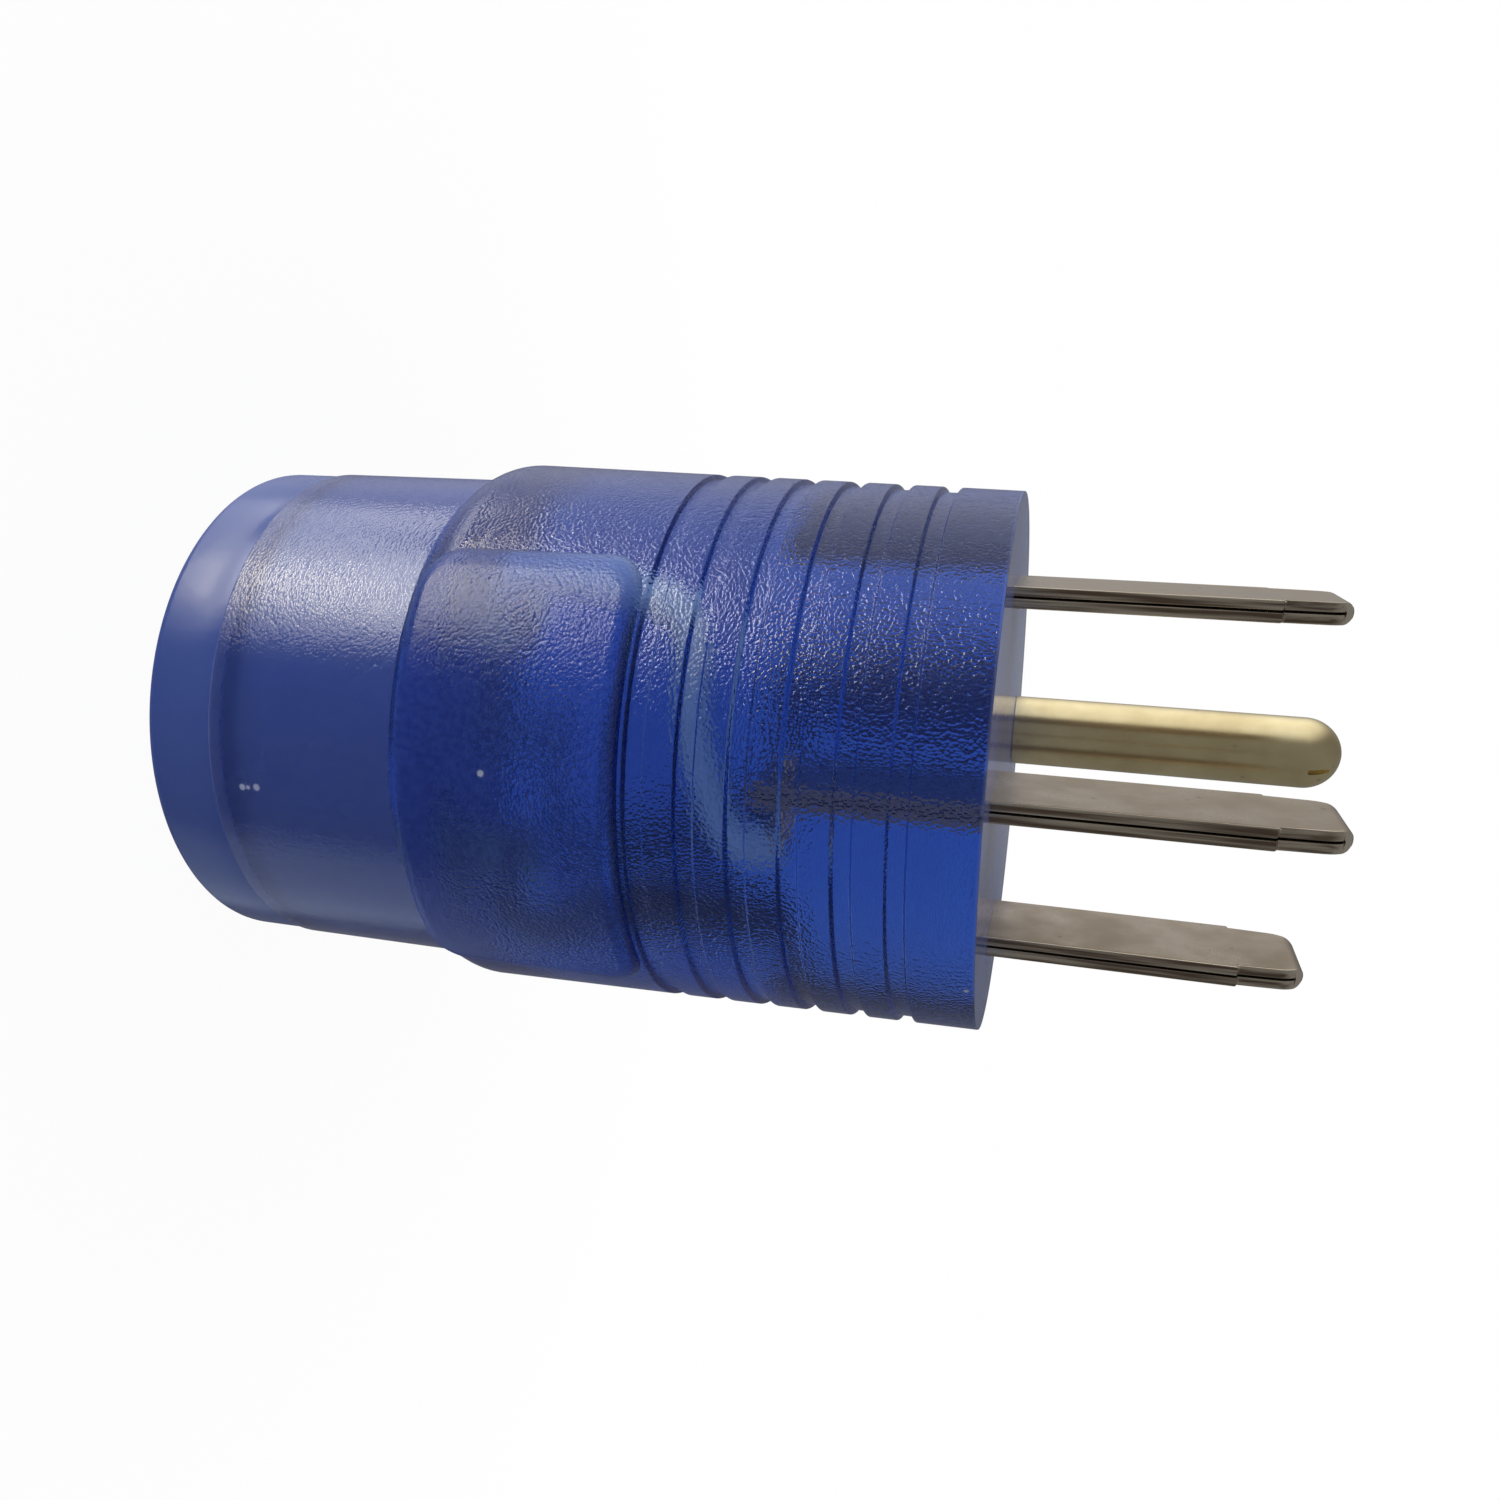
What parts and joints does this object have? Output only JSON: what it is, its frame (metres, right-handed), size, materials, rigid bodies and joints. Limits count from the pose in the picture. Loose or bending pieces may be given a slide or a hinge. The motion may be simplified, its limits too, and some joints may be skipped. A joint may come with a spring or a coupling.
{
  "type": "plug adapter",
  "caption": "Clear blue moulded power adapter: heavy flat blades and a round ground pin at one end, a slotted socket at the other, with grip rings and raised finger pads.",
  "frame": {"origin": "centre of the flat socket face, where the adapter stands on its socket end", "axes": "+Z along the body towards the prongs; +X towards the neutral blade, so the ground pin lies on -X; the line blade is on +Y and the spare blade on -Y"},
  "size_m": [0.0546, 0.0528, 0.1094],
  "materials": {
    "clear_blue_plastic": "clear blue vinyl, glossy with a fine pebble",
    "insert_plastic": "clear blue vinyl, smooth",
    "nickel_blade": "nickel plated, satin",
    "brass_pin": "bright drawn",
    "contact_brass": "pressed strip",
    "copper_wire": "bare copper",
    "white_jacket": "plain",
    "black_jacket": "plain",
    "green_jacket": "plain"
  },
  "bodies": {
    "root": {"moulded_body": "clear_blue_plastic", "socket_insert": "insert_plastic", "line_blade": "nickel_blade", "spare_blade": "nickel_blade", "neutral_blade": "nickel_blade", "ground_pin": "brass_pin", "line_contact": "contact_brass", "neutral_contact": "contact_brass", "ground_contact": "contact_brass", "line_wire_core": "copper_wire", "neutral_wire_core": "copper_wire", "ground_wire_core": "copper_wire", "neutral_wire_jacket": "white_jacket", "line_wire_jacket": "black_jacket", "ground_wire_jacket": "green_jacket"}
  },
  "joints": []
}
